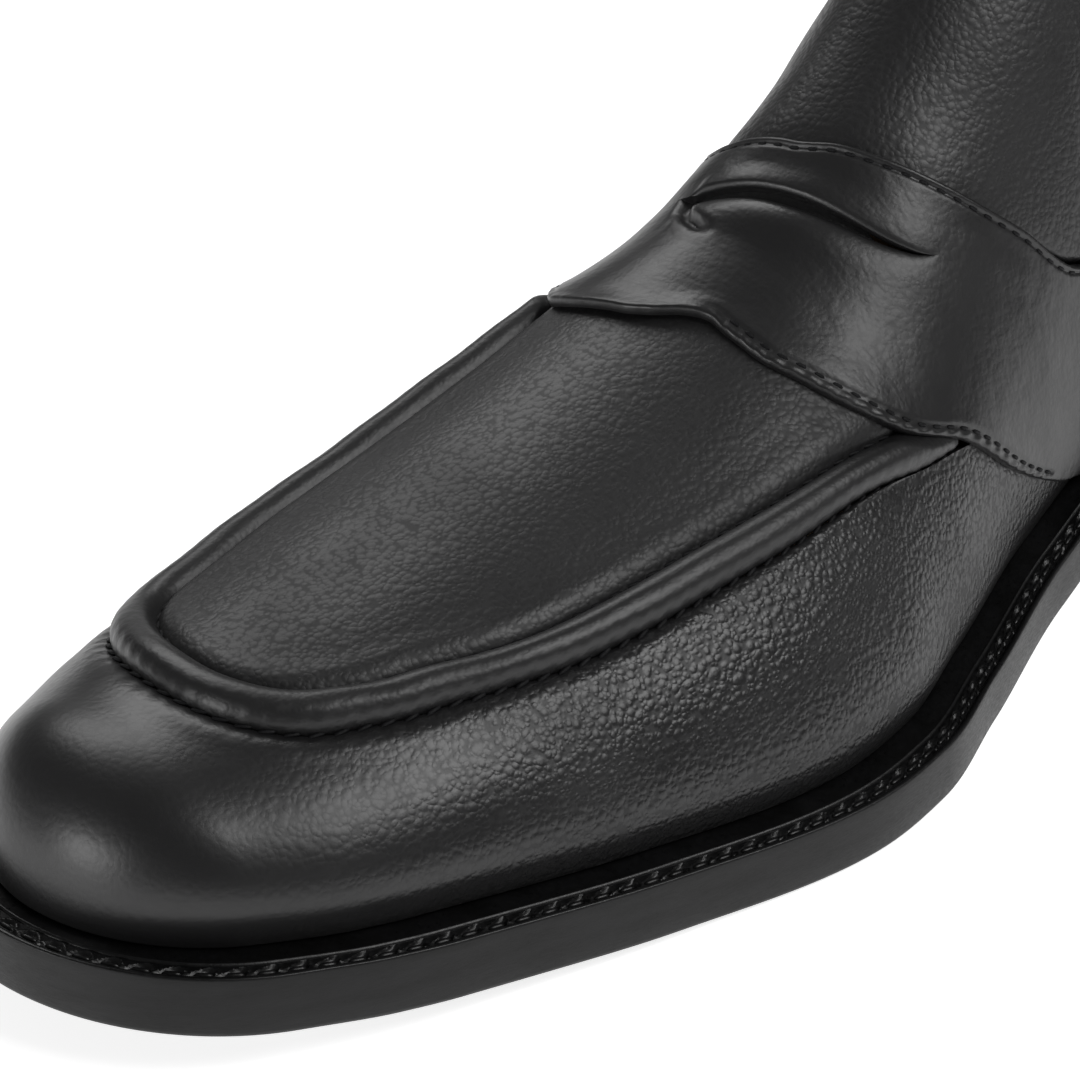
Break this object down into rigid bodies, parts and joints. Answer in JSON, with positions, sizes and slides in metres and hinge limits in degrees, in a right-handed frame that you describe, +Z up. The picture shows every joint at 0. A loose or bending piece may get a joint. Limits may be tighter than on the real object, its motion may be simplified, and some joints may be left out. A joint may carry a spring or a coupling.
{
  "type": "penny loafer",
  "caption": "Left-foot slip-on loafer with a raised apron seam, a slotted saddle strap and a stitched welt on a low stacked heel.",
  "frame": {"origin": "on the floor, under the middle of the shoe's outline", "axes": "+Z up, toe towards -Y, heel towards +Y, outer side of the foot towards +X"},
  "size_m": [0.103, 0.3, 0.1032],
  "materials": {
    "grain_leather": "glossy pebble grain",
    "strap_leather": "satin, finely creased",
    "lining_leather": "matte",
    "insole_leather": "matte",
    "stiffener": "matte",
    "rib_canvas": "matte",
    "foam": "matte",
    "cork": "matte granules",
    "steel": "brushed",
    "welt_leather": "satin",
    "sole_leather": "satin painted edge",
    "heel_rubber": "matte",
    "brass": "satin",
    "upper_thread": "waxed",
    "welt_thread": "waxed"
  },
  "bodies": {
    "shoe": {"apron_plug": "grain_leather", "apron_roll": "grain_leather", "vamp": "grain_leather", "outer_quarter": "grain_leather", "inner_quarter": "grain_leather", "backstay": "grain_leather", "saddle_strap": "strap_leather", "topline_binding": "strap_leather", "strap_stay": "stiffener", "toe_puff": "stiffener", "heel_counter": "stiffener", "vamp_lining": "lining_leather", "outer_quarter_lining": "lining_leather", "inner_quarter_lining": "lining_leather", "heel_grip": "lining_leather", "sock_liner": "lining_leather", "insole": "insole_leather", "insole_rib": "rib_canvas", "heel_pad": "foam", "cork_filler": "cork", "shank": "steel", "welt": "welt_leather", "outsole": "sole_leather", "lower_heel_lift": "sole_leather", "middle_heel_lift": "sole_leather", "upper_heel_lift": "sole_leather", "top_piece": "heel_rubber", "heel_nails": "brass", "apron_outer_stitches": "upper_thread", "apron_inner_stitches": "upper_thread", "strap_front_stitches": "upper_thread", "strap_rear_stitches": "upper_thread", "topline_stitches": "upper_thread", "welt_stitches": "welt_thread"},
    "tongue_body": {"tongue": "grain_leather", "tongue_lining": "lining_leather"}
  },
  "joints": [
    {"name": "tongue_flex", "type": "hinge", "parent": "shoe", "child": "tongue_body", "pos_m": [-0.0021, -0.002, 0.0695], "axis": [1, 0, 0], "range_deg": [-3, 22], "stiffness_Nm_per_rad": 0.05}
  ]
}
